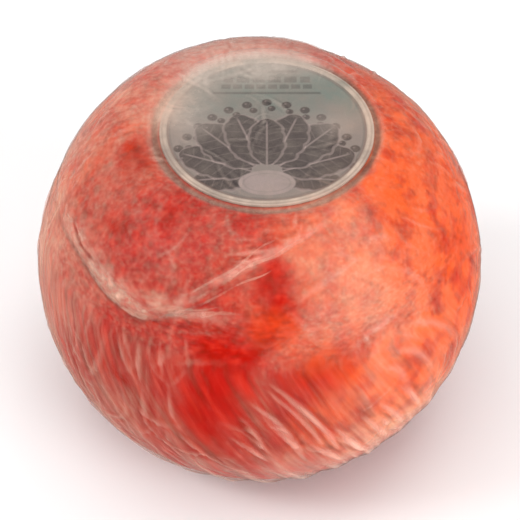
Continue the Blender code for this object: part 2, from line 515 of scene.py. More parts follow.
@dataclass(frozen=True)
class FilmFinish:
    """Clear wrapping film, see-through where it clings and pale where it is creased, gathered or doubled.

    The piece's attributes say how much: those of the haze, "crest" for folds, whose values below 0 paint shade
    beside them, and "shine" for its gloss.

    Attributes:
        name: Of the material.
        haze: Its haze where it lies over the label or is gathered.
        hazy: Whether its piece has any such place.
        rim: How pale it is where it is seen edge on.
        rose: Colour of its folds, which take up the wax's own.
        edge: What passes through the film where it is seen edge on, and the colour of the painted shade beside
            its folds.
        groove: How strong the painted shade beside its folds is.
        roughness: Of the film's gloss.
        gloss: Share of the film's mirror reflection that is kept.
    """

    name: str = "clear_film"
    haze: HazeFinish = HazeFinish()
    hazy: bool = True
    rim: float = 0.4
    rose: Colour = (1.0, 0.50, 0.38)
    edge: Colour = (0.38, 0.26, 0.24)
    groove: float = 2.0
    roughness: float = 0.5
    gloss: float = 0.12

    def material(self) -> bpy.types.Material:
        """The film: clear, with a pale body mixed in by haze and folds, darkened where seen edge on and by
        painted shade beside its folds, and a mirror reflection on top.
        """
        bench = Bench(self.name)
        grain, crest, shine = bench.vector("grain"), bench.attribute("crest"), bench.attribute("shine")
        strands, mottle = bench.noise(grain, 300, 2), bench.noise(grain, 620, 3)
        body = crest * (0.4 + 0.9 * strands + 0.7 * mottle)
        if self.hazy:
            body = body + self.haze.share(bench)
        turned = Level(bench, bench.node("ShaderNodeLayerWeight", None, {"Blend": 0.5}).outputs["Facing"])
        share = (body + self.rim * turned.step(0.60, 0.98) * shine).clipped(0, 0.92)
        normal = bench.bump(strands * 0.6 + mottle * 0.4, 0.0002)
        taken_up = (6 * crest * bench.attribute("blush")).clipped(0, 1)
        tint = bench.mixed(taken_up, self.haze.tint(bench), self.rose)
        sockets = {"Base Color": tint, "Roughness": 0.7, "Specular IOR Level": 0.1, "Normal": normal}
        solid = bench.node("ShaderNodeBsdfPrincipled", None, sockets).outputs[0]
        clear = bench.node("ShaderNodeBsdfTransparent").outputs[0]
        dark = bench.node("ShaderNodeBsdfTransparent", None, {"Color": self.edge}).outputs[0]
        gloss = {"Roughness": self.roughness, "Normal": normal}
        mirror = bench.node("ShaderNodeBsdfGlossy", None, gloss).outputs[0]
        fresnel = Level(bench, bench.node("ShaderNodeFresnel", None, {"IOR": 1.45}).outputs[0])
        # Painted shade beside the folds, where the crest is below 0, and darkening where the film is seen edge
        # on.
        shadow = (turned**8 - crest * self.groove).clipped(0, 1)
        seen = bench.blended(shadow, bench.blended(share, clear, solid), dark)
        return bench.finished(bench.blended((0.015 + fresnel * self.gloss) * shine, seen, mirror))


@dataclass(frozen=True)
class CardFinish:
    """The label's card: a pale embossed border round a field whose inks are the piece's attributes.

    Attributes:
        ground, cast, ground_low: Colours of the printed field: its own, its greener cast, and lower down.
        border: Colour of the border.
        leaf: Of the leaves and berries.
        pale: Of the veins, the oval and the glints.
        rule: Of the rules and dashes.
        groove: Of the border's lines.
        dust: Of the soft mottling over it all.
    """

    ground: Colour = (0.170, 0.175, 0.150)
    cast: Colour = (0.140, 0.185, 0.160)
    ground_low: Colour = (0.220, 0.180, 0.160)
    border: Colour = (0.58, 0.45, 0.36)
    leaf: Colour = (0.024, 0.013, 0.014)
    pale: Colour = (0.33, 0.25, 0.23)
    rule: Colour = (0.045, 0.050, 0.045)
    groove: Colour = (0.16, 0.085, 0.065)
    dust: Colour = (0.22, 0.18, 0.15)

    def material(self) -> bpy.types.Material:
        """The printed card."""
        bench = Bench("printed_card")
        fibre = bench.noise(bench.place(), 1500, 3)
        mottle = bench.noise(bench.place(), 260, 4)
        cast = 0.7 * bench.noise(bench.place(), 60, 2).step(0.40, 0.62)
        ground = bench.mixed(cast, self.ground, self.cast)
        colour = bench.mixed(bench.attribute("low"), ground, self.ground_low)
        colour = bench.mixed(bench.attribute("rule") * (0.4 + 0.6 * mottle), colour, self.rule)
        colour = bench.mixed(bench.attribute("pale") * 0.9, colour, self.pale)
        colour = bench.mixed(bench.attribute("leaf") * (0.65 + 0.45 * mottle), colour, self.leaf)
        colour = bench.mixed(bench.attribute("vein") * 0.8, colour, self.pale)
        worn = bench.noise(bench.place(), 75, 4).step(0.36, 0.62)
        colour = bench.mixed(bench.attribute("border") * (0.25 + 0.75 * worn), colour, self.border)
        colour = bench.mixed(bench.attribute("groove"), colour, self.groove)
        colour = bench.mixed(0.3 * mottle.step(0.4, 0.7), colour, self.dust)
        sockets = {
            "Base Color": colour,
            "Roughness": 0.42,
            "Specular IOR Level": 0.3,
            "Normal": bench.bump(fibre * 0.5 + mottle * 0.5, 0.00015),
        }
        return bench.finished(bench.node("ShaderNodeBsdfPrincipled", None, sockets).outputs[0])


@dataclass(frozen=True)
class FloorFinish:
    """A plain pale floor.

    Attributes:
        colour, shade: Its colour, and what a breath of unevenness mixes into it.
    """

    colour: Colour = (0.92, 0.92, 0.92)
    shade: Colour = (0.88, 0.88, 0.88)

    def material(self) -> bpy.types.Material:
        """Matt, near white, with a breath of unevenness."""
        bench = Bench("pale_floor")
        colour = bench.mixed(0.1 * bench.noise(bench.place(), 3, 2), self.colour, self.shade)
        sockets = {"Base Color": colour, "Roughness": 0.9, "Specular IOR Level": 0.1}
        return bench.finished(bench.node("ShaderNodeBsdfPrincipled", None, sockets).outputs[0])


# --------------------------------------------------------------------------------------------------
# The ball's shape and the film's folds


@dataclass(frozen=True)
class BallForm:
    """The bare ball: a sphere with flattened top and base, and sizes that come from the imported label's box.

    Attributes:
        label_low, label_high: The label's lowest and highest corners.
        roundness: Radius of the ball over the height of its flat top from its centre.
        shoulder: Height at which the shoulders would meet the axis, over the flat top's.
        sharpness: How tightly the side turns into the flats.
    """

    label_low: Field
    label_high: Field
    roundness: float = 1.25
    shoulder: float = 1.0186
    sharpness: float = 16.0

    @property
    def flat(self) -> float:
        """Height of the flat top from the ball's centre."""
        return float(self.label_high[2]) / 2

    @property
    def radius(self) -> float:
        """Radius at the equator, out to the film."""
        return self.roundness * self.flat

    @property
    def label_centre(self) -> Field:
        """Centre of the label, x and y."""
        return (self.label_low[:2] + self.label_high[:2]) / 2

    @property
    def label_radius(self) -> float:
        """Radius of the label."""
        return float(self.label_high[0] - self.label_low[0]) / 2

    def distance(self, colatitude: Field) -> Field:
        """Distance of the surface from the centre: (radius^-p + (shoulder height / |cos t|)^-p)^(-1/p)."""
        cosine = np.maximum(np.abs(np.cos(np.radians(colatitude))), 1e-6)
        height = self.shoulder * self.flat
        return (self.radius**-self.sharpness + (height / cosine) ** -self.sharpness) ** (-1 / self.sharpness)

    def circle(self, longitude: Field, radius: float) -> Field:
        """Colatitude at which each meridian crosses a circle on the flat top, round the label's centre."""
        turn = np.radians(longitude)
        x, y = self.label_centre
        along = x * np.sin(turn) - y * np.cos(turn)
        reach = along + np.sqrt(radius**2 - x**2 - y**2 + along**2)
        return np.degrees(np.arctan2(reach, self.flat))


@dataclass(frozen=True)
class Crease:
    """A fold line in the film, with a crest and a shallow groove on each side.

    Attributes:
        route: Places that it passes through.
        width: Half width of the crest, metres.
        height: Height of the crest, metres.
        haze: How pale the crest is, up to 1; below 0 it paints a line of shade instead.
    """

    route: tuple[Place, ...]
    width: float = 0.0007
    height: float = 0.0004
    haze: float = 0.35

    def line(self, radius: float, steps: int = 8) -> Field:
        """Points along the crest: a Catmull-Rom curve through the route, brought to this radius.

        Args:
            radius: Of the sphere that the points lie on.
            steps: Points for each stretch of the route.

        Returns:
            Points by 3.
        """
        knots = directions_of(*np.array(self.route, float).T)
        knots = np.concatenate((2 * knots[:1] - knots[1:2], knots, 2 * knots[-1:] - knots[-2:-1]))
        u = np.linspace(0, 1, steps, endpoint=False)[:, None]
        stretches = []
        for a, b, c, d in zip(knots, knots[1:], knots[2:], knots[3:]):
            square, cube = 2 * a - 5 * b + 4 * c - d, 3 * b - a - 3 * c + d
            stretches.append(0.5 * (2 * b + (c - a) * u + square * u**2 + cube * u**3))
        points = np.concatenate((*stretches, knots[-2:-1]))
        return radius * points / np.linalg.norm(points, axis=-1, keepdims=True)

    def relief(self, points: Field, radius: float) -> tuple[Field, Field, Field]:
        """The crest near each point, from the distance to the nearest of the line's segments.

        The rise is exp(-u^2) - 0.35 exp(-((u - 2) / 0.8)^2), with u the distance over the width, and both the
        width and the rise narrow towards the line's ends.

        Args:
            points: Points by 3, on the sphere.
            radius: Of the sphere.

        Returns:
            The numbers of the points that it reaches, and their rise and haze.
        """
        line = self.line(radius)
        middle = line.mean(axis=0)
        reach = np.linalg.norm(line - middle, axis=1).max() + 4 * self.width
        near = np.flatnonzero(((points - middle) ** 2).sum(axis=1) < reach**2)
        close = points[near]
        best = np.full(len(near), np.inf)
        along = np.zeros(len(near))
        for number, (start, end) in enumerate(zip(line, line[1:])):
            run = end - start
            share = np.clip((close - start) @ run / (run @ run), 0, 1)
            away = ((close - start - share[:, None] * run) ** 2).sum(axis=1)
            nearer = away < best
            best = np.where(nearer, away, best)
            along = np.where(nearer, (number + share) / (len(line) - 1), along)
        taper = np.sin(np.pi * np.clip(along, 0.02, 0.98)) ** 0.6
        u = np.sqrt(best) / (self.width * (0.45 + 0.55 * taper))
        # Beside the crest the haze falls below 0, which the film's finish paints as shade.
        shape = taper * (bell(u, 1) - 0.35 * bell(u - 2, 0.8))
        return near, self.height * shape, self.haze * shape


@dataclass(frozen=True)
class CreaseScatter:
    """Many creases over a band of the ball, alike but uneven.

    Attributes:
        count: How many.
        seed: Of their places.
        longitudes, colatitudes: The band, degrees.
        heading: Mean direction, degrees from straight down towards +X, and its spread.
        length: Shortest and longest, degrees of arc.
        width: Narrowest and widest, metres.
        height: Lowest and highest, metres.
        haze: Palest share of each crest.
    """

    count: int
    seed: int
    longitudes: Place
    colatitudes: Place
    heading: Place
    length: Place
    width: Place = (0.0006, 0.0013)
    height: Place = (0.0001, 0.0004)
    haze: Place = (0.02, 0.15)

    def creases(self) -> list[Crease]:
        """The creases, each a bent line of four points."""
        draw = np.random.default_rng(self.seed)
        made = []
        for _ in range(self.count):
            longitude, colatitude = draw.uniform(*self.longitudes), draw.uniform(*self.colatitudes)
            heading = math.radians(draw.normal(*self.heading))
            bend = draw.normal(0, 0.35)
            step = draw.uniform(*self.length) / 3
            route = [(longitude, colatitude)]
            for _ in range(3):
                widen = 1 / max(math.sin(math.radians(colatitude)), 0.25)
                longitude += step * math.sin(heading) * widen
                colatitude += step * math.cos(heading)
                heading += bend
                route.append((longitude, colatitude))
            strength = draw.uniform(0, 1) ** 1.5
            made.append(
                Crease(
                    tuple(route),
                    draw.uniform(*self.width),
                    self.height[0] + strength * (self.height[1] - self.height[0]),
                    self.haze[0] + strength * (self.haze[1] - self.haze[0]),
                )
            )
        return made


@dataclass(frozen=True)
class Patch:
    """A round place on the ball where something is stronger.

    Attributes:
        place: Its middle.
        width: Degrees at which it has fallen to about a third.
        amount: Its strength at the middle.
    """

    place: Place
    width: float
    amount: float

    def strength(self, directions: Field) -> Field:
        """The patch's strength in each direction."""
        return self.amount * bell(angle_to(directions, self.place), self.width)


def patches(*rows: tuple[float, float, float, float]) -> tuple[Patch, ...]:
    """Patches from rows of longitude, colatitude, width and amount."""
    return tuple(Patch(row[:2], *row[2:]) for row in rows)


class Layer(Enum):
    """The film's two layers."""

    LOWER = "lower"
    UPPER = "upper"


@dataclass(frozen=True)
class FilmRelief:
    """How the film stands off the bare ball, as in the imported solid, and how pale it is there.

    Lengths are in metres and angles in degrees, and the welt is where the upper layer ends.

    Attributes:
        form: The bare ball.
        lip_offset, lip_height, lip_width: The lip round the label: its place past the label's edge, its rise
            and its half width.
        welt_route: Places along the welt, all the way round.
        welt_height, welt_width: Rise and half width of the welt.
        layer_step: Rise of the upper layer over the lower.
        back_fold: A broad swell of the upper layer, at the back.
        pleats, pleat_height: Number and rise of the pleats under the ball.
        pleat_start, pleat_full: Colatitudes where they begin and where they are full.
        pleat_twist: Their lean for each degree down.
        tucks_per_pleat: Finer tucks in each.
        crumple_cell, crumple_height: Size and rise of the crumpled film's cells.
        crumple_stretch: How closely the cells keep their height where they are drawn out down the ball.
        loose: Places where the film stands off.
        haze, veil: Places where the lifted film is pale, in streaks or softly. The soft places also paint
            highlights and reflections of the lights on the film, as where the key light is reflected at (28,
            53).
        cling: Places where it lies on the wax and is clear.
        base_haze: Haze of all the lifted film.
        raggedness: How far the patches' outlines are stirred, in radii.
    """

    form: BallForm
    lip_offset: float = 0.0022
    lip_height: float = 0.0006
    lip_width: float = 0.0013
    welt_route: tuple[Place, ...] = (
        (-150, 61), (-118, 66), (-84, 62.5), (-60, 60.5), (-44, 63), (-32, 63), (-22, 58), (-10, 50),
        (8, 42.5), (22, 39), (38, 37), (70, 36.5), (110, 37), (145, 40), (168, 46), (188, 55),
    )
    welt_height: float = 0.0006
    welt_width: float = 0.0016
    layer_step: float = 0.0003
    back_fold: Patch = Patch((-173, 48), 26, 0.0014)
    pleats: int = 30
    pleat_height: float = 0.0008
    pleat_start: float = 74
    pleat_full: float = 142
    pleat_twist: float = 0.5
    tucks_per_pleat: int = 3
    crumple_cell: float = 0.0085
    crumple_height: float = 0.0005
    crumple_stretch: float = 0.38
    loose: tuple[Patch, ...] = patches(
        (-128, 44, 20, 0.0008), (-70, 78, 16, 0.0007), (28, 54, 18, 0.0006), (62, 80, 18, 0.0007),
        (-110, 100, 22, 0.0006), (120, 84, 24, 0.0007), (175, 92, 22, 0.0006),
    )
    # The first patch is where the key light is reflected, and paints part of that highlight.
    haze: tuple[Patch, ...] = patches(
        (28, 53, 17, 0.05), (-78, 74, 22, 0.17), (-90, 48, 20, 0.09), (26, 102, 16, 0.05),
        (46, 74, 16, 0.05), (-128, 44, 24, 0.06), (-150, 80, 26, 0.07), (120, 84, 30, 0.07),
        (-15, 112, 18, 0.07), (-60, 106, 22, 0.08),
        (175, 120, 30, 0.06), (150, 50, 16, 0.08), (50, 108, 20, 0.05),
        (-31, 60.8, 2.2, 0.30), (-43.5, 63.5, 2.2, 0.24), (-15, 58.6, 2.4, 0.14),
        (-36, 62.5, 3.0, 0.10), (-24, 59.3, 3.0, 0.14), (-9.5, 67.5, 1.6, 0.5), (-40, 96, 6, 0.12),
    )
    # Soft haze and painted highlights: the first patch is the key light's reflection, and those over and round
    # the label paint the lights' reflections in the film there.
    veil: tuple[Patch, ...] = patches(
        (28, 53, 18, 0.24), (-78, 74, 20, 0.10), (-100, 62, 20, 0.12), (100, 26, 7, 0.25),
        (26, 104, 14, 0.06), (48, 106, 18, 0.20), (180, 44, 16, 0.26), (-150, 34, 14, 0.18), (-178, 27, 8, 0.34),
        (-110, 22, 10, 0.22), (-145, 31, 7, 0.26), (-112, 31, 6, 0.20), (155, 31, 6, 0.25),
        (-128, 44, 24, 0.08), (36, 108, 12, 0.16), (8, 114, 14, 0.12),
    )
    cling: tuple[Patch, ...] = patches(
        (-10.5, 67, 6, 1.0), (-11, 76, 8, 1.0), (-12.5, 84, 9, 1.0), (-12, 93, 9, 0.9), (-4.5, 74, 7, 0.8),
        (-3.5, 66.5, 5.5, 0.8), (4.8, 50, 4.5, 1.0), (5.2, 46.5, 3.5, 0.8), (2.5, 56, 5.5, 0.9),
        (0.6, 61, 5.5, 0.8), (-74, 35, 5, 0.8),
        (14, 76, 7, 0.75), (20, 80, 5, 0.5), (-17, 80, 5, 0.5), (-30, 82, 8, 0.3), (-9, 103, 6, 0.5),
        (-38, 38, 7, 0.5), (-75, 52, 8, 0.5), (95, 70, 14, 0.6), (-120, 78, 12, 0.7), (150, 75, 14, 0.7),
        (68, 66, 12, 0.7), (64, 84, 8, 0.5), (40, 88, 7, 0.5), (60, 45, 8, 0.5), (-52, 47, 6, 0.6),
        (-3, 36, 6, 0.4),
        (-45, 78, 7, 0.4), (-58, 95, 7, 0.4), (-38, 83, 3.5, 0.8), (-28, 108, 8, 0.3),
    )
    base_haze: float = 0.075
    raggedness: float = 0.06

    def welt(self, longitude: Field) -> Field:
        """Colatitude of the welt: a Catmull-Rom curve through its route, closed on itself."""
        knots, values = np.array(self.welt_route, float).T
        places = np.concatenate((knots[-2:] - 360, knots, knots[:2] + 360))
        heights = np.concatenate((values[-2:], values, values[:2]))
        slopes = np.gradient(heights, places)
        wrapped = (longitude - knots[0]) % 360 + knots[0]
        low = np.searchsorted(places, wrapped, side="right") - 1
        span = places[low + 1] - places[low]
        u = (wrapped - places[low]) / span
        return (
            (2 * u**3 - 3 * u**2 + 1) * heights[low]
            + (u**3 - 2 * u**2 + u) * span * slopes[low]
            + (3 * u**2 - 2 * u**3) * heights[low + 1]
            + (u**3 - u**2) * span * slopes[low + 1]
        )

    def welt_strength(self, longitude: Field) -> Field:
        """How thickly the welt is gathered: most on the front's left, some on its right and at the back."""
        turned = (longitude + 180) % 360 - 180
        behind = longitude % 360 - 185
        return bell(turned + 50, 26) + 0.15 * bell(turned - 2, 24) + 0.5 * bell(behind, 34)

    def lip(self, longitude: Field) -> Field:
        """Colatitude of the film's lip round the label."""
        return self.form.circle(longitude, self.form.label_radius + self.lip_offset)

    def arc(self, degrees: Field) -> Field:
        """Metres along the ball for an angle at its centre."""
        return np.radians(degrees) * self.form.radius

    def folds(self, longitude: Field, colatitude: Field, layer: Layer) -> Field:
        """Rise of the larger folds: loose places, and the upper layer's step, welt and lip."""
        directions = directions_of(longitude, colatitude)
        rise = sum(patch.strength(directions) for patch in self.loose)
        if layer is Layer.LOWER:
            return rise
        from_welt = self.arc(colatitude - self.welt(longitude))
        inside = smooth_step(self.welt_width, -self.welt_width, from_welt)
        rise = rise + (self.layer_step + self.back_fold.strength(directions)) * inside
        swell = self.welt_height * (0.1 + 0.9 * np.minimum(self.welt_strength(longitude), 1))
        rise = rise + swell * bell(from_welt, self.welt_width)
        return rise + self.lip_height * bell(self.arc(colatitude - self.lip(longitude)), self.lip_width)

    def unwound(self, longitude: Field, colatitude: Field) -> Field:
        """Longitude turned back by the twist of the pleats, radians."""
        return np.radians(longitude - self.pleat_twist * np.maximum(colatitude - self.pleat_start, 0))

    def gathers(self, longitude: Field, colatitude: Field) -> tuple[Field, Field]:
        """Rise and paleness of the pleats under the ball, with finer tucks between them.

        The pleats are 0.5 + 0.5 cos of their number times the longitude, turned back by the twist.

        Args:
            longitude: Degrees.
            colatitude: Degrees.

        Returns:
            The rise in metres, and the paleness from 0 to about 1.
        """
        turn = self.unwound(longitude, colatitude)
        wander = 0.9 * np.sin(3 * turn + 1.0) + 0.5 * np.sin(7 * turn)
        wave = 0.5 + 0.5 * np.cos(turn * self.pleats)
        tuck = 0.5 + 0.5 * np.cos(turn * self.pleats * self.tucks_per_pleat + wander)
        uneven = 1 + 0.35 * np.sin(3 * turn) * np.cos(7 * turn)
        patchy = 0.5 + 0.5 * np.sin(5 * turn + 0.8) * np.sin(11 * turn)
        gathered = smooth_step(self.pleat_start, self.pleat_full, colatitude)
        early = smooth_step(self.pleat_start + 14, self.pleat_start + 46, colatitude)
        rise = self.pleat_height * gathered * wave * uneven + 0.00020 * early * patchy * (tuck**3 - 0.3)
        return rise, early * (0.16 * wave**6 * uneven + 0.22 * patchy * tuck**6)

    def grain(self, longitude: Field, colatitude: Field) -> Field:
        """Coordinates in metres: the place itself above, and drawn out down the ball below its shoulders."""
        turn = self.unwound(longitude, colatitude)
        drawn = np.stack((np.sin(turn), -np.cos(turn), 0.14 * np.radians(colatitude)), axis=-1)
        place = directions_of(longitude, colatitude)
        return self.form.radius * (place + smooth_step(58, 78, colatitude)[..., None] * (drawn - place))

    def crumple(self, longitude: Field, colatitude: Field) -> tuple[Field, Field]:
        """Rise and paleness of crumpled film: even slopes that meet in creases along the borders of cells.

        Cells are round above and drawn out down the ball below its shoulders, where the film was pulled.

        Args:
            longitude: Degrees.
            colatitude: Degrees.

        Returns:
            The rise in metres, and the paleness from 0 to about 1.
        """
        form, cell = self.form, self.crumple_cell
        where = directions_of(longitude, colatitude) * form.radius
        push = [0.3 * cell * lattice_noise(where, 1.6 * cell, 81 + axis, 2) for axis in range(3)]
        push = np.stack(push, axis=-1)
        turn, down = self.unwound(longitude, colatitude), self.crumple_stretch * np.radians(colatitude)
        drawn = np.stack((np.sin(turn), -np.cos(turn), down), axis=-1)
        pulled = smooth_step(66, 88, colatitude + 12 * lattice_noise(where, 0.03, 84))
        rise, pale = 0, 0
        for size, part, seed in ((cell, 1.0, 85), (0.55 * cell, 0.45, 86)):
            gaps = cell_gap(where + push, size, seed), cell_gap(drawn * form.radius + push, size, seed + 2)
            for gap, share in zip(gaps, (1 - pulled, pulled)):
                rise = rise + part * share * (0.45 - np.minimum(gap, 0.7))
                pale = pale + part * share * bell(gap, 0.22)
        patchy = np.clip(0.6 + 0.9 * lattice_noise(where, 0.018, 89, 2), 0.1, 1.6)
        return self.crumple_height * patchy * rise, patchy * pale

    def bloom(self, longitude: Field, colatitude: Field) -> dict[str, Field]:
        """What the haze's finish reads, and how loose the film is, by attribute name."""
        directions = directions_of(longitude, colatitude)
        grain, stirred = self.grain(longitude, colatitude), self.stirred(directions)
        loose = self.looseness(stirred, grain)
        turned = (longitude + 180) % 360 - 180
        blush = smooth_step(-60, 60, turned + 25 * lattice_noise(directions * self.form.radius, 0.02, 23, 2))
        blush = (0.6 + 0.4 * blush) * smooth_step(150, 110, np.abs(turned)) * smooth_step(18, 32, colatitude)
        return {
            "haze": self.paleness(stirred) * loose,
            "veil": self.veiling_and_highlight(stirred) * loose,
            "loose": loose,
            "blush": blush * smooth_step(122, 98, colatitude),
            "grain": grain,
        }

    def stirred(self, directions: Field) -> Field:
        """The directions pushed about by noise, which gives the patches ragged outlines."""
        where = directions * self.form.radius
        push = [lattice_noise(where, 0.013, 94 + axis, 3) for axis in range(3)]
        moved = directions + self.raggedness * np.stack(push, axis=-1)
        return moved / np.linalg.norm(moved, axis=-1, keepdims=True)

    def paleness(self, stirred: Field) -> Field:
        """Haze of the lifted film in stirred directions: its patches and an uneven ground."""
        where = stirred * self.form.radius
        haze = self.base_haze * (1 + 0.5 * lattice_noise(where, 0.02, 5, 3))
        haze = haze + sum(patch.strength(stirred) for patch in self.haze)
        return np.maximum(haze * (1 + 0.45 * lattice_noise(where, 0.009, 6, 2)), 0)

    def veiling_and_highlight(self, stirred: Field) -> Field:
        """The softer haze, in stirred directions, of film that is lifted smoothly, with painted highlights and
        reflections of the lights on the film.
        """
        veil = sum(patch.strength(stirred) for patch in self.veil)
        return veil * (1 + 0.25 * lattice_noise(stirred * self.form.radius, 0.012, 97, 2))

    def looseness(self, stirred: Field, grain: Field) -> Field:
        """1 where the film is off the wax, down to 0 where it clings to it, in streaks along the grain."""
        streaks = 1 + 0.4 * lattice_noise(grain, 0.0045, 98, 2)
        loose = 1.0
        for patch in self.cling:
            loose = loose * (1 - np.clip(patch.strength(stirred) * streaks, 0, 1))
        return loose


@dataclass
class FilmSheet:
    """A stretch of film on a grid of rings.

    Attributes:
        relief: The film's folds.
        layer: Which layer it is.
        longitude, colatitude: Rows by columns, degrees.
        creases: Its creases.
    """

    relief: FilmRelief
    layer: Layer
    longitude: Field
    colatitude: Field
    creases: Iterable[Crease]

    def lines(self, directions: Field) -> tuple[Field, Field]:
        """Rise and paleness of the drawn creases, added up."""
        radius = self.relief.form.radius
        sphere = directions.reshape(-1, 3) * radius
        rise, crest = np.zeros(len(sphere)), np.zeros(len(sphere))
        for crease in self.creases:
            near, lift, pale = crease.relief(sphere, radius)
            rise[near] += lift
            crest[near] += pale
        return rise.reshape(self.colatitude.shape), crest.reshape(self.colatitude.shape)

    def surface(self, spare: tuple[int, int], foot: bool = False, top: bool = False) -> RingSurface:
        """The film's points and the fields that its finish reads.

        Both layers share one shape where they overlap at the welt, with the upper a little outside the lower.

        Args:
            spare: Rows at each end that only serve the normals.
            foot: Whether the last ring closes on the axis.
            top: Whether the first ring closes on the axis.

        Returns:
            The surface.
        """
        form, relief = self.relief.form, self.relief
        longitude, colatitude = self.longitude, self.colatitude
        directions = directions_of(longitude, colatitude)
        where = directions * form.radius
        from_welt = colatitude - relief.welt(longitude)
        upper = self.layer is Layer.UPPER
        own = smooth_step(1.5, -1.5, from_welt) if upper else smooth_step(-1.5, 1.5, from_welt)
        fields = relief.bloom(longitude, colatitude)
        loose = fields.pop("loose")
        rise, crest = self.lines(directions)
        crumpled, pale = relief.crumple(longitude, colatitude)
        crest = crest + pale * fields["haze"] * 0.25
        rise = rise + crumpled * (0.35 + 0.65 * loose)
        if not upper:
            gathered, pale = relief.gathers(longitude, colatitude)
            rise, crest = rise + gathered, crest + pale
        rise = rise * own + relief.folds(longitude, colatitude, self.layer)
        rise = rise + 0.00014 * lattice_noise(where, 0.008, 21, 3) + (0.00008 if upper else -0.00004)
        points = directions * (form.distance(colatitude) + rise)[..., None]
        strength = relief.welt_strength(longitude)
        if upper:
            ripple = 0.00012 + 0.0001 * (1 + lattice_noise(points, 0.006, 22, 2))
            ripple = ripple + 0.15 * np.maximum(crumpled, 0)
            over_label = smooth_step(0.5, -1.5, colatitude - relief.lip(longitude))
            inner = colatitude < relief.lip(longitude) - 1
            points[..., 2] = np.where(inner, np.minimum(points[..., 2], form.flat + ripple), points[..., 2])
            haze = 0.08 * over_label * fields["haze"]
            gathered = np.clip(1 + 0.9 * lattice_noise(where, 0.005, 24, 2), 0.1, 2)
            haze = haze + 0.34 * strength * gathered * bell(relief.arc(from_welt) + 0.0012, 0.0036)
            # A pale ring along the lip: partly the stretched film's haze, partly a painted highlight where the
            # lip catches the light.
            haze = haze + 0.12 * bell(relief.arc(colatitude - relief.lip(longitude)) - 0.0006, 0.0011)
            # The soft haze over the label, with its painted reflections of the lights.
            veil = over_label * (fields["veil"] + 0.27 * fields["haze"])
            doubled = np.minimum(strength, 1)
            shown = 1 - (1 - doubled) * smooth_step(-1.5, 2, from_welt)
            gloss = 1 - 0.5 * over_label
        else:
            # Painted shadow: a line under the welt, where the crest falls below 0 and the finish darkens the
            # film.
            crest = crest - 0.15 * strength * bell(relief.arc(from_welt) - 0.0024, 0.0009)
            haze, veil = np.zeros_like(crest), np.zeros_like(crest)
            shown = smooth_step(-2.5, 1, from_welt)
            gloss = 1.0
        points[..., 2] = np.maximum(points[..., 2], -form.flat) + form.flat
        welt = strength * bell(relief.arc(from_welt), 0.006)
        fields |= {
            "blush": np.clip(fields["blush"] + welt, 0, 1),
            "haze": haze * shown,
            "veil": veil * shown,
            "crest": np.clip(crest, -0.3, 1) * (0.1 + 0.9 * loose) * shown,
            "shine": (0.08 + 0.92 * loose) * shown * gloss,
        }
        high = (0.0, 0.0, float(points[0, :, 2].mean()))
        return RingSurface(points, fields, spare, high if top else None, (0.0, 0.0, 0.0) if foot else None)


# --------------------------------------------------------------------------------------------------
# Sub-assemblies


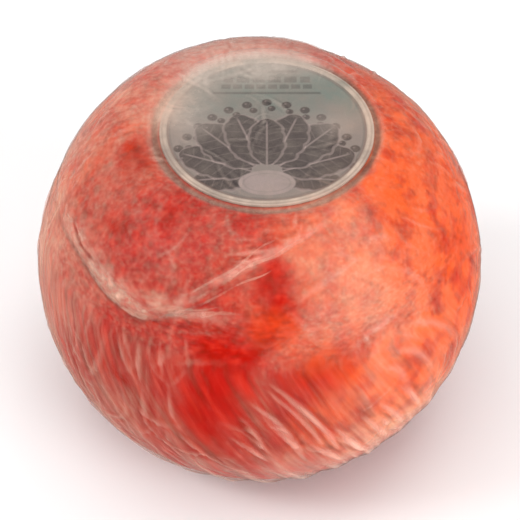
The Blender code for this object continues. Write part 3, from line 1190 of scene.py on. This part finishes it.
@dataclass
class WaxedCheese:
    """The ball of cheese in its coat of wax.

    Attributes:
        relief: The film's folds, whose label lip and welt shade the wax.
        clearance: Of the wax inside the film, metres.
        fullness: Share of the upper layer's folds that the wax swells into.
        card: Thickness of the label that lies on its flat top, metres.
        raised, sunk: Height of its base over the floor, and depth of its top under the label, metres.
        groove: Depth of the hollow round the label, metres.
        columns: Of its grid.
        rows: Of its grid, under the label, across the hollow and from there down.
        orange_and_lit_places, deep_places: Where the wax is orange, partly its own tone and partly painted light
            on the side where the key light falls, and where it stays thick and red.
        painted_shade_places: Where it is painted darker, as painted shade.
    """

    relief: FilmRelief
    clearance: float = 0.0002
    fullness: float = 1.0
    card: float = 0.0009
    raised: float = 0.0003
    sunk: float = 0.0001
    groove: float = 0.0006
    columns: int = 420
    rows: tuple[int, int, int] = (16, 34, 176)
    orange_and_lit_places: tuple[Patch, ...] = patches(
        (75, 66, 34, 0.9), (46, 92, 24, 0.5), (60, 40, 22, 0.5), (25, 60, 20, 0.35), (-100, 70, 22, 0.3),
        (150, 80, 34, 0.6), (-160, 100, 26, 0.5), (-95, 40, 24, 0.2),
        (3, 60, 7, 0.15), (14, 76, 7, 0.12), (34, 106, 14, 0.3), (15, 95, 10, 0.2),
    )
    deep_places: tuple[Patch, ...] = patches(
        (-12, 80, 15, 0.4), (4.8, 50, 5, 0.6), (-38, 38, 7, 0.5), (17, 77, 7, 0.3)
    )
    painted_shade_places: tuple[Patch, ...] = patches(
        (-42, 98, 18, 0.25), (-30, 76, 10, 0.14), (-10, 100, 14, 0.08), (-70, 36, 14, 0.10),
        (-20, 45, 12, 0.08), (180, 44, 18, 0.30), (4.8, 50, 4, 0.15), (-60, 36, 20, 0.06), (-74, 35, 5, 0.15),
    )

    def build(self) -> list[bpy.types.Object]:
        """Makes the wax: the bare ball, a little smaller, with dents and a dark ring round the label, a shallow
        hollow with painted shadow in it.
        """
        form = self.relief.form
        start = np.arange(self.columns) * 360 / self.columns
        under, across, down = (np.linspace(0, 1, count, endpoint=False)[:, None] for count in self.rows)
        inner = form.circle(start, form.label_radius - 0.002)
        radius = form.label_radius - 0.002 + 0.007 * across
        outer = form.circle(start, form.label_radius + 0.005)
        colatitude = np.concatenate(
            (inner * (0.02 + 0.98 * under), form.circle(start, radius), outer + (179.5 - outer) * down)
        )
        longitude = start + 0 * colatitude
        directions = directions_of(longitude, colatitude)
        where = directions * form.radius
        bloom = self.relief.bloom(longitude, colatitude)
        crumpled = self.relief.crumple(longitude, colatitude)[0] * (0.35 + 0.65 * bloom["loose"])
        dents = 0.00015 * lattice_noise(where, 0.03, 31, 2) + 0.00008 * lattice_noise(where, 0.006, 32, 2)
        distance = form.distance(colatitude) - self.clearance + np.minimum(dents, 0) + crumpled
        lower = self.relief.folds(longitude, colatitude, Layer.LOWER)
        upper = self.relief.folds(longitude, colatitude, Layer.UPPER)
        distance = distance + lower + self.fullness * (upper - lower)
        ring = self.relief.arc(colatitude - form.circle(longitude, form.label_radius + 0.0012))
        points = directions * distance[..., None]
        low, high = -form.flat + self.raised, form.flat - self.card - self.sunk
        points[..., 2] = np.clip(points[..., 2], low, high) + form.flat
        points[..., 2] -= self.groove * bell(ring, 0.0012)
        # Orange places: partly the wax's own tone, partly painted light where the key light falls.
        thin = sum(patch.strength(directions) for patch in self.orange_and_lit_places)
        thin = thin - sum(patch.strength(directions) for patch in self.deep_places)
        thin = np.clip(thin * (1 + 0.6 * lattice_noise(where, 0.016, 33, 3)), 0, 1)
        from_welt = self.relief.arc(colatitude - self.relief.welt(longitude))
        # Painted shadow: a dark ring in the gap round the label and a dark band under the welt.
        shade = bell(ring, 0.0011 * (1 + 0.3 * lattice_noise(where, 0.008, 34)))
        shade = shade + 0.5 * self.relief.welt_strength(longitude) * bell(from_welt - 0.0022, 0.0012)
        # Painted shade: darker places on the wax, in the shadow colour.
        shade = shade + sum(patch.strength(directions) for patch in self.painted_shade_places)
        top, foot = (0.0, 0.0, float(points[0, 0, 2])), (0.0, 0.0, float(points[-1, 0, 2]))
        fields = bloom | {"thin": thin, "shade": np.clip(shade, 0, 0.9)}
        wax = RingSurface(points, fields, top=top, foot=foot).piece("waxed_cheese")
        return [fit(wax, WaxFinish().material(), "wax_under_film", BALL_NODE)]


@dataclass
class LowerFilm:
    """The film's lower layer: the wall round the ball, and the gathers that close it under the base.

    Attributes:
        relief: The film's folds.
        tuck: How far the wall runs on under the upper layer, degrees.
        seam: Colatitude at which the wall becomes the gathers.
        columns, rows: Of each grid.
        front: Its own creases on the front.
        scattered: Its other creases.
    """

    relief: FilmRelief
    tuck: float = 5.0
    seam: float = 114.0
    columns: int = 800
    rows: int = 190

    front: tuple[Crease, ...] = (
        Crease(((-44, 63), (-36, 63), (-30, 61.4), (-22, 59.6), (-14, 58.8), (-3, 59)), 0.0024, 0.0004, 0.22),
        # Negative haze: a painted shade line along a real groove.
        Crease(((-33, 62.5), (-32, 64), (-31.5, 66.5)), 0.0007, -0.0003, -0.2),
        Crease(((-30, 66), (-20, 64), (-10, 63)), 0.0010, 0.0003, 0.10),
        Crease(((-33.2, 71), (-32.2, 76.8), (-31.4, 82.8)), 0.0009, 0.0003, 0.2),
        Crease(((-27, 69.3), (-26, 74.2), (-25.2, 79.4)), 0.0009, 0.0003, 0.2),
        Crease(((-30.5, 83), (-30.2, 90.4), (-30, 98.6)), 0.0009, 0.0003, 0.2),
        Crease(((-23, 82), (-22.6, 87.3), (-21.6, 92.6)), 0.0008, 0.0003, 0.16),
        Crease(((-13.4, 73.4), (-13, 80), (-12.4, 86.8)), 0.0007, 0.0002, 0.12),
        Crease(((-4.9, 71.2), (-5, 74.6), (-4.2, 77.8)), 0.0007, 0.0002, 0.14),
        Crease(((-22.1, 95.9), (-18.1, 100.2), (-12.7, 106.1), (-2.8, 113.7)), 0.0010, 0.0004, 0.22),
        Crease(((-37.9, 70.1), (-35.8, 75), (-33.3, 80.6)), 0.0008, 0.0003, 0.14),
        Crease(((-20.5, 64.8), (-19.3, 69.2), (-18, 74.5)), 0.0008, 0.0003, 0.14),
        Crease(((-6.3, 89.7), (-0.1, 96.9), (2.8, 101.4)), 0.0007, 0.0003, 0.24),
        Crease(((-3, 80.8), (3.8, 88), (8.4, 96.6), (11.9, 107.1)), 0.0011, 0.0005, 0.42),
        Crease(((2.1, 78), (8.3, 85.2), (13.5, 94), (16.3, 101.4)), 0.0010, 0.0005, 0.36),
        Crease(((5.5, 79.7), (11.6, 87.3), (18.5, 99), (21.2, 106.3)), 0.0010, 0.0005, 0.36),
        Crease(((2.8, 76.1), (6.7, 79.9), (11.1, 85), (16.5, 93.2), (22.5, 103.1)), 0.0010, 0.0005, 0.36),
        Crease(((-0.1, 85.4), (5.5, 93.3), (9.8, 102.6)), 0.0009, 0.0004, 0.28),
        Crease(((-7.5, 94.5), (-2.4, 99), (2.1, 105.5)), 0.0010, 0.0004, 0.32),
        Crease(((-5.3, 85.6), (-2, 90.9), (1, 98)), 0.0009, 0.0004, 0.28),
        Crease(((18, 93), (24, 102), (29, 112)), 0.0011, 0.0004, 0.38),
        Crease(((26, 92), (31, 100), (36, 109)), 0.0012, 0.0005, 0.36),
        Crease(((31, 90), (36.5, 98), (41, 106)), 0.0012, 0.0005, 0.36),
        Crease(((20, 98), (25, 105), (30, 112)), 0.0012, 0.0005, 0.40),
        Crease(((36, 86), (41.5, 94), (46, 102)), 0.0012, 0.0005, 0.30),
        Crease(((13, 99), (18.5, 106), (23, 113)), 0.0011, 0.0005, 0.40),
        Crease(((32.6, 78.6), (37.5, 83), (42.8, 97.6)), 0.0014, 0.0005, 0.24),
        Crease(((36, 75), (43, 80), (49, 90)), 0.0013, 0.0005, 0.20),
        Crease(((41, 69.5), (51, 76), (61, 89)), 0.0013, 0.0005, 0.18),
        Crease(((23, 70.5), (32, 67), (41, 65.8)), 0.0012, 0.0004, 0.18),
        Crease(((6, 56), (19, 51.6), (36, 48)), 0.0012, 0.0004, 0.15),
        # Negative haze: a painted shade line along a real groove.
        Crease(((8, 46), (3, 58.5), (0.5, 63.5)), 0.0016, -0.0004, -0.1),
        Crease(((-66.6, 76.5), (-61, 71), (-54, 71)), 0.0015, 0.0003, 0.1),
    )
    scattered: tuple[CreaseScatter, ...] = (
        CreaseScatter(170, 41, (-180, 180), (40, 110), (20, 35), (6, 22)),
        CreaseScatter(130, 42, (-180, 180), (45, 105), (75, 30), (5, 16)),
        CreaseScatter(60, 43, (-60, -8), (64, 105), (4, 6), (8, 24)),
    )

    def creases(self) -> list[Crease]:
        """The front's own creases and the scattered ones."""
        return [*self.front, *itertools.chain(*(scatter.creases() for scatter in self.scattered))]

    def build(self) -> list[bpy.types.Object]:
        """Makes the wall and the gathers, in two pieces each.

        They share the ring at the seam, and rows past it serve its normals.
        """
        start = np.arange(self.columns) * 360 / self.columns
        top = self.relief.welt(start) - self.tuck
        share = np.linspace(0, 1, self.rows)[:, None]
        wall = top + (self.seam - top) * share
        wall = np.concatenate((wall, 2 * wall[-1:] - wall[-2:-1]))
        gathers = self.seam + (179.6 - self.seam) * share**1.02
        gathers = np.concatenate((2 * gathers[:1] - gathers[1:2], gathers)) + 0 * start
        creases, finish, made = self.creases(), FilmFinish(hazy=False).material(), []
        for name, colatitude, spare, foot in (
            ("film_wall", wall, (0, 1), False),
            ("film_gathers", gathers, (1, 0), True),
        ):
            lean = self.relief.pleat_twist * np.maximum(colatitude - self.relief.pleat_start, 0)
            sheet = FilmSheet(self.relief, Layer.LOWER, start + lean, colatitude, creases)
            for part, band in zip(("upper", "lower"), sheet.surface(spare, foot=foot).cut(self.rows // 2)):
                made.append(fit(band.piece(f"{name}_{part}"), finish, "clear_film", BALL_NODE))
        return made


@dataclass(frozen=True)
class Strand:
    """A thin bundle of gathered film along the welt.

    Attributes:
        start, end: Longitudes of its ends.
        offset: Degrees below the welt's line.
        drop: Degrees by which its right end hangs below that line.
        sway: Degrees by which it wanders to either side.
        thickness: Half of its height in the middle, metres.
        haze: How pale it is.
        seed: Of its unevenness.
    """

    start: float
    end: float
    offset: float
    drop: float
    sway: float
    thickness: float
    haze: float
    seed: int

    def surface(self, relief: FilmRelief, around: int = 12, spacing: float = 0.16) -> RingSurface:
        """A flat tube along the welt's line plus an offset and sines, of noisy thickness, tapered to its ends.

        Args:
            relief: The film's folds.
            around: Points round it.
            spacing: Degrees between its rings.

        Returns:
            The closed surface.
        """
        form = relief.form
        longitude = np.arange(self.start, self.end, spacing)
        along = (longitude - self.start) / (self.end - self.start)
        turn = np.radians(longitude)
        wander = np.sin(9 * turn + 2 * self.seed) + 0.5 * np.sin(23 * turn + self.seed)
        taper = np.sin(np.pi * np.clip(along, 0.001, 0.999)) ** 0.5
        colatitude = relief.welt(longitude) + self.offset + self.sway * wander
        colatitude = colatitude + self.drop * smooth_step(-30, 0, longitude)
        directions = directions_of(longitude, colatitude)
        bumps = lattice_noise(directions * form.radius, 0.004, 60 + self.seed, 2)
        thickness = self.thickness * taper * np.clip(1 + 0.55 * bumps, 0.35, 2)
        layer = np.where(colatitude > relief.welt(longitude) + 2, 0.0, relief.layer_step)
        rise = relief.folds(longitude, colatitude, Layer.LOWER) + layer + thickness * 0.4
        centre = directions * (form.distance(colatitude) + rise)[:, None]
        centre[:, 2] += form.flat
        tangent = np.gradient(centre, axis=0)
        tangent /= np.linalg.norm(tangent, axis=1, keepdims=True)
        side = np.cross(tangent, directions)
        angle = np.arange(around)[None, :, None] * 2 * np.pi / around
        spread = 2.4 * np.cos(angle) * side[:, None] + np.sin(angle) * directions[:, None]
        points = centre[:, None] + thickness[:, None, None] * spread
        streaks = lattice_noise(directions * form.radius, 0.007, 90 + self.seed, 2)
        streaks = np.clip(0.75 + 1.1 * streaks, 0.05, 2)
        level = np.broadcast_to((self.haze * streaks * taper)[:, None], points.shape[:2])
        fields = {
            "haze": level,
            "veil": level * 0.3,
            "crest": level * 0.3,
            "shine": np.full(level.shape, 0.3),
            "blush": np.broadcast_to(0.5 + 0.5 * smooth_step(-70, 10, longitude)[:, None], level.shape),
            "grain": np.broadcast_to(directions[:, None] * form.radius, points.shape) * (0.15, 0.15, 1.0),
        }
        return RingSurface(points, fields, top=tuple(centre[0]), foot=tuple(centre[-1]))


@dataclass
class UpperFilm:
    """The film's upper layer: the cap over the label, and the gathered strands of its welt.

    Attributes:
        relief: The film's folds.
        columns: Of the cap's grid.
        rows_over_label, rows_to_welt: Of the cap's grid.
        hem: How far the cap runs past the welt's crest, degrees.
        cap_haze, strand_haze: The haze of the cap, and of the strands.
        front: The cap's own creases on the front.
        scattered: Its other creases.
        strands: The welt's strands.
    """

    relief: FilmRelief
    columns: int = 620
    rows_over_label: int = 100
    rows_to_welt: int = 140
    hem: float = 2.0
    cap_haze: HazeFinish = HazeFinish((0.68, 0.56, 0.48), (0.90, 0.60, 0.44))
    strand_haze: HazeFinish = HazeFinish((0.88, 0.56, 0.42), (0.95, 0.46, 0.32))

    front: tuple[Crease, ...] = (
        Crease(((-20, 54), (-12, 49.2), (-4, 45.4), (6, 42.2), (18, 39.6), (32, 37.6)), 0.0016, 0.0004, 0.22),
        Crease(((-9.9, 43.3), (-4, 42.4), (2.9, 41.7)), 0.0008, 0.0003, 0.28),
        Crease(((-12.4, 39.6), (-6, 39.2), (-1, 39)), 0.0006, 0.0002, 0.12),
        Crease(((-9.6, 44.8), (-4, 44.2), (0.7, 43.4)), 0.0006, 0.0003, 0.2),
        # Negative haze: a painted shade line along a real groove.
        Crease(((-72, 57.6), (-68.4, 58.6), (-61.6, 59.6), (-54, 59.6)), 0.0007, -0.0003, -0.25),
    )
    scattered: tuple[CreaseScatter, ...] = (
        CreaseScatter(110, 51, (-180, 180), (32, 60), (0, 14), (3, 14), (0.0006, 0.0011), (0.0001, 0.0003)),
        CreaseScatter(60, 52, (-180, 180), (30, 60), (60, 40), (3, 10), (0.0006, 0.0011), (0.0001, 0.0003)),
        CreaseScatter(
            70, 53, (-180, 180), (3, 30), (0, 60), (6, 20), (0.0004, 0.0009), (0.00003, 0.00012), (0, 0.10)
        ),
    )
    strands: tuple[Strand, ...] = (
        Strand(-78, -30, -2.4, 0.0, 0.5, 0.00026, 0.05, 1),
        Strand(-74, -12, -1.2, 9.0, 0.4, 0.00034, 0.08, 2),
        Strand(-66, -4, -0.2, 11.0, 0.35, 0.00036, 0.10, 3),
        Strand(-60, -20, 0.9, 6.0, 0.3, 0.00024, 0.07, 4),
        Strand(-34, 8, -3.6, 0.0, 0.7, 0.00018, 0.08, 5),
        Strand(-30, 34, -0.6, 0.0, 0.5, 0.00022, 0.11, 6),
        Strand(-22, 4, 1.9, 0.0, 0.6, 0.00018, 0.08, 7),
        Strand(150, 216, -0.8, 0.0, 0.5, 0.00030, 0.12, 8),
        Strand(160, 228, 0.5, 0.0, 0.4, 0.00032, 0.14, 9),
    )

    def cap(self) -> RingSurface:
        """The cap: rings that grow from the axis to the lip, and on to just past the welt."""
        start = np.arange(self.columns) * 360 / self.columns
        lip, welt = self.relief.lip(start), self.relief.welt(start) + self.hem
        inner = lip * np.linspace(0.012, 1, self.rows_over_label, endpoint=False)[:, None]
        outer = lip + (welt - lip) * np.linspace(0, 1, self.rows_to_welt)[:, None]
        colatitude = np.concatenate((inner, outer))
        creases = [*self.front, *itertools.chain(*(scatter.creases() for scatter in self.scattered))]
        sheet = FilmSheet(self.relief, Layer.UPPER, start + 0 * colatitude, colatitude, creases)
        return sheet.surface((0, 0), top=True)

    def build(self) -> list[bpy.types.Object]:
        """Makes the cap, in two pieces that meet at the label's lip, and the strands."""
        finish = FilmFinish("clear_upper_film", self.cap_haze).material()
        gathered = FilmFinish("clear_gathered_film", self.strand_haze).material()
        made = []
        for name, band in zip(("film_cap", "film_shoulder"), self.cap().cut(self.rows_over_label)):
            made.append(fit(band.piece(name), finish, "clear_film", BALL_NODE))
        for number, strand in enumerate(self.strands, 1):
            piece = strand.surface(self.relief).piece(f"film_welt_strand_{number}")
            made.append(fit(piece, gathered, "clear_film", BALL_NODE))
        return made


@dataclass
class TopLabel:
    """The round card label: a disc with an embossed border, printed with leaves, berries and plain rules.

    Attributes:
        form: The ball, which gives the label's place and radius.
        thickness: Of the card, metres.
        border: Width of the embossed border, metres.
        embossing: By which the border stands over the printed field, metres.
        side: Quads along each side of its grid.
        rounding, drop: Width and depth of its rounded rim, metres.
        line, line_depth: The line in its border, as a share of the radius, and its depth in metres.
        air: Between its back and the flat of the wax's seat, metres.
    """

    form: BallForm
    thickness: float = 0.0009
    border: float = 0.0019
    embossing: float = 0.00025
    side: int = 308
    rounding: float = 0.0003
    drop: float = 0.00025
    line: float = 0.968
    line_depth: float = 0.00006
    air: float = 0.00005

    def grid(self) -> tuple[Field, Field]:
        """Points of a unit disc as a square grid bent round: x = u sqrt(1 - v^2 / 2), and y likewise."""
        ticks = np.linspace(-1, 1, self.side + 1)
        u, v = np.meshgrid(ticks, ticks)
        return u * np.sqrt(1 - v**2 / 2), v * np.sqrt(1 - u**2 / 2)

    def inks(self, x: Field, y: Field) -> dict[str, Field]:
        """The print on the unit disc: fields of colour and simple shapes, each from 0 to 1.

        Nine broad leaves fan out from a pale oval, painted over each other. A leaf is half as wide as
        sqrt(1 - s^2), with s the place along its midrib. Round berries follow an arch over the leaves' tips,
        and rows of plain dashes and rules fill the upper field.

        Args:
            x: Across the label, to the right.
            y: Along the label, away from the front.

        Returns:
            The inks, by attribute name.
        """
        soft = 0.012
        across = np.hypot(x, y)
        wobble = 0.014 * lattice_noise(np.stack((x, y, 0 * x), axis=-1), 0.09, 71, 2)
        leaf, vein, rule = np.zeros_like(x), np.zeros_like(x), np.zeros_like(x)
        root = -0.60
        for turn, reach, wide in (
            (-96, 0.66, 0.15), (96, 0.66, 0.15), (-70, 0.84, 0.19), (70, 0.84, 0.19), (-44, 0.90, 0.20),
            (44, 0.90, 0.20), (-20, 0.84, 0.19), (20, 0.84, 0.19), (0, 0.74, 0.16),
        ):
            angle = math.radians(turn)
            along = x * math.sin(angle) + (y - root) * math.cos(angle)
            aside = x * math.cos(angle) - (y - root) * math.sin(angle)
            s = (along - 0.60 * reach) / (0.42 * reach)
            lobes = 1 + 0.10 * np.abs(np.sin(7.5 * s))
            outline = wide * np.sqrt(np.maximum(1 - s**2, 0)) * lobes - np.abs(aside) + wobble
            inside = smooth_step(-soft, soft, outline) * smooth_step(1.03, 0.99, np.abs(s))
            rim = smooth_step(0.022, 0.008, np.abs(outline)) * smooth_step(1.06, 1.0, np.abs(s))
            rib = smooth_step(0.014, 0.005, np.abs(aside)) * smooth_step(1.0, 0.7, s)
            ribs = smooth_step(0.86, 0.98, np.cos(21 * s - 26 * np.abs(aside)))
            ribs = ribs * smooth_step(0.02, 0.05, outline)
            own = np.maximum(np.maximum(0.7 * rib, 0.2 * ribs) * inside, 0.55 * rim)
            leaf = np.maximum(leaf, inside)
            vein = vein * (1 - inside) + own * np.maximum(inside, rim)
        for turn in np.linspace(-78, 78, 15):
            angle = math.radians(turn)
            for step, size in ((0.0, 0.046), (0.085, 0.036)):
                reach = 0.98 - step - 0.10 * abs(math.sin(angle))
                aside = 0.045 if step else 0.0
                berry_x = reach * math.sin(angle) + aside * math.cos(angle)
                berry_y = root + reach * math.cos(angle) - aside * math.sin(angle)
                away = np.hypot(x - berry_x, y - berry_y)
                leaf = np.maximum(leaf, smooth_step(size + 0.008, size - 0.006, away))
                glint = np.hypot(x - berry_x + 0.012, y - berry_y - 0.014)
                vein = np.maximum(vein, 0.5 * smooth_step(0.016, 0.006, glint))
        oval = smooth_step(1.05, 0.97, np.hypot(x / 0.26, (y + 0.70) / 0.16))
        oval_line = smooth_step(0.06, 0.02, np.abs(np.hypot(x / 0.215, (y + 0.70) / 0.12) - 1))
        for height, half, thick, dash in (
            (0.815, 0.30, 0.012, 0), (0.70, 0.42, 0.036, 0.15),
            (0.60, 0.46, 0.024, 0.11), (0.51, 0.52, 0.009, 0),
        ):
            bar = smooth_step(thick + soft, thick, np.abs(y - height))
            bar = bar * smooth_step(half, half - 0.02, np.abs(x))
            if dash:
                bar = bar * smooth_step(0.16, 0.28, np.abs(np.mod(x / dash + 0.5, 1) - 0.5) * 2)
            rule = np.maximum(rule, bar)
        inside = smooth_step(0.93, 0.915, across)
        ring = smooth_step(0.012, 0.004, np.abs(across - 0.905))
        return {
            "leaf": leaf * inside * (1 - oval),
            "vein": vein * inside * (1 - oval),
            "pale": oval * (1 - 0.5 * oval_line) * inside,
            "rule": np.maximum(rule, 0.5 * ring) * inside,
            "low": smooth_step(0.55, -0.1, y + 6 * wobble),
            "border": smooth_step(0.925, 0.94, across),
            "groove": 0.35 * bell(across - 0.976, 0.009) + 0.55 * bell(across - 0.922, 0.010),
        }

    def build(self) -> list[bpy.types.Object]:
        """Makes the card: the printed face with its embossing, a side wall and a plain back."""
        x, y = self.grid()
        radius, (centre_x, centre_y) = self.form.label_radius, self.form.label_centre
        across = np.hypot(x, y) * radius
        top = 2 * self.form.flat
        lowered = smooth_step(radius - self.border, radius - self.border - self.embossing, across)
        past = np.maximum((across - radius + self.rounding) / self.rounding, 0)
        z = top - self.embossing * lowered - self.drop * (1 - np.sqrt(np.maximum(1 - past**2, 0)))
        z = z - self.line_depth * bell(across / radius - self.line, 0.012)
        points = np.stack((centre_x + x * radius, centre_y + y * radius, z), axis=-1)
        n = self.side + 1
        index = np.arange(n * n).reshape(n, n)
        quads = index[:-1, :-1], index[:-1, 1:], index[1:, 1:], index[1:, :-1]
        quads = np.stack(quads, axis=-1).reshape(-1, 4)
        rim = np.concatenate((index[0, :-1], index[:-1, -1], index[-1, :0:-1], index[:0:-1, 0]))
        lower = n * n + np.arange(len(rim))
        wall = np.stack((np.roll(rim, -1), rim, lower, np.roll(lower, -1)), axis=-1)
        back = np.stack((lower, np.full(len(rim), n * n + len(rim)), np.roll(lower, -1)), axis=-1)
        under = top - self.thickness + self.air
        foot = points.reshape(-1, 3)[rim] * (1, 1, 0) + (0, 0, under)
        middle = np.array([(centre_x, centre_y, under)])
        mesh = bpy.data.meshes.new("printed_label")
        corners = np.concatenate((points.reshape(-1, 3), foot, middle))
        mesh.from_pydata(corners.tolist(), [], quads.tolist() + wall.tolist() + back.tolist())
        for name, ink in self.inks(x, y).items():
            edges = np.ones(len(rim) + 1) if name == "border" else np.zeros(len(rim) + 1)
            paint_field(mesh, name, np.concatenate((ink.ravel(), edges))[:, None])
        mesh.shade_smooth()
        mesh.set_sharp_from_angle(angle=math.radians(50))
        return [fit(linked("printed_label", mesh), CardFinish().material(), "label_card", LABEL_NODE)]


@dataclass(frozen=True)
class Lamp:
    """A square soft light that faces the ball.

    Attributes:
        name: Of the light.
        azimuth: Degrees from the front, positive towards +X.
        elevation: Degrees above the floor.
        size: Side of the square, metres.
        level: Brightness that it gives to white matt card facing it.
    """

    name: str
    azimuth: float
    elevation: float
    size: float
    level: float


@dataclass
class Studio:
    """A plain pale floor, soft lights and the camera.

    Attributes:
        height: Of the ball's centre, which the camera and the lights face, metres.
        elevation: Of the camera over the horizon, degrees.
        distance: Of the camera from the ball's centre, metres.
        lens: Focal length on a sensor 36 mm wide, millimetres.
        floor_size: Side of the floor, metres.
        throw: Distance of the lights from the ball, metres.
        sky: Brightness of the white that surrounds it all.
    """

    height: float
    elevation: float = 46.0
    distance: float = 0.888
    lens: float = 182.1
    floor_size: float = 12.0
    throw: float = 4.0
    sky: float = 0.45
    lamps: tuple[Lamp, ...] = (
        Lamp("key_light", 48, 18, 2.2, 0.58),
        Lamp("top_light", -20, 82, 3.4, 0.43),
        Lamp("side_light", -80, 38, 1.4, 0.39),
        Lamp("back_light", 140, 60, 2.0, 0.12),
    )

    def floor(self) -> None:
        """A flat square under the ball."""
        half = self.floor_size / 2
        mesh = bpy.data.meshes.new("floor")
        corners = [(-half, -half, 0), (half, -half, 0), (half, half, 0), (-half, half, 0)]
        mesh.from_pydata(corners, [], [(0, 1, 2, 3)])
        mesh.materials.append(FloorFinish().material())
        linked("floor", mesh)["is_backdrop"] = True

    def light(self, lamp: Lamp) -> None:
        """Makes a lamp. Its power is pi^2 times its level times the square of its throw."""
        data = bpy.data.lights.new(lamp.name, "AREA")
        data.size, data.energy = lamp.size, math.pi**2 * lamp.level * self.throw**2
        self.look(bpy.data.objects.new(lamp.name, data), lamp.azimuth, lamp.elevation, self.throw)

    def look(self, made: bpy.types.Object, azimuth: float, elevation: float, distance: float) -> None:
        """Puts a lamp or a camera at this direction and distance from the ball's centre, facing it."""
        direction = directions_of(np.array(azimuth), np.array(90 - elevation))
        made.location = np.array((0.0, 0.0, self.height)) + distance * direction
        made.rotation_euler = (math.radians(90 - elevation), 0.0, math.radians(azimuth))
        bpy.context.scene.collection.objects.link(made)

    def build(self) -> None:
        """Makes the floor, the lights, the white surroundings and the camera."""
        scene = bpy.context.scene
        self.floor()
        for lamp in self.lamps:
            self.light(lamp)
        world = bpy.data.worlds.new("studio")
        world.use_nodes = True
        background = world.node_tree.nodes["Background"]
        background.inputs["Color"].default_value = (1, 1, 1, 1)
        background.inputs["Strength"].default_value = self.sky
        scene.world = world
        camera = bpy.data.objects.new("camera", bpy.data.cameras.new("camera"))
        camera.data.lens, camera.data.sensor_width = self.lens, 36.0
        self.look(camera, 0, self.elevation, self.distance)
        scene.camera = camera
        scene.view_settings.view_transform = "Standard"


def write_sizes() -> None:
    boxes = {"cad": CAD_BOX, "visual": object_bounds()}
    boxes = {name: [list(corner) for corner in box] for name, box in boxes.items()}


def main() -> None:
    """Builds each sub-assembly in order and reports its pieces."""
    logging.basicConfig(level=logging.INFO, format="%(name)s: %(message)s")
    form = BallForm(*(np.array(corner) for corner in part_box(LABEL_NODE)))
    relief = FilmRelief(form)
    for assembly in (WaxedCheese(relief), LowerFilm(relief), UpperFilm(relief), TopLabel(form)):
        for piece in assembly.build():
            LOG.info("%s: %d faces", piece.name, len(piece.data.polygons))
    Studio(form.flat).build()
    write_sizes()


if __name__ == "__main__":
    main()
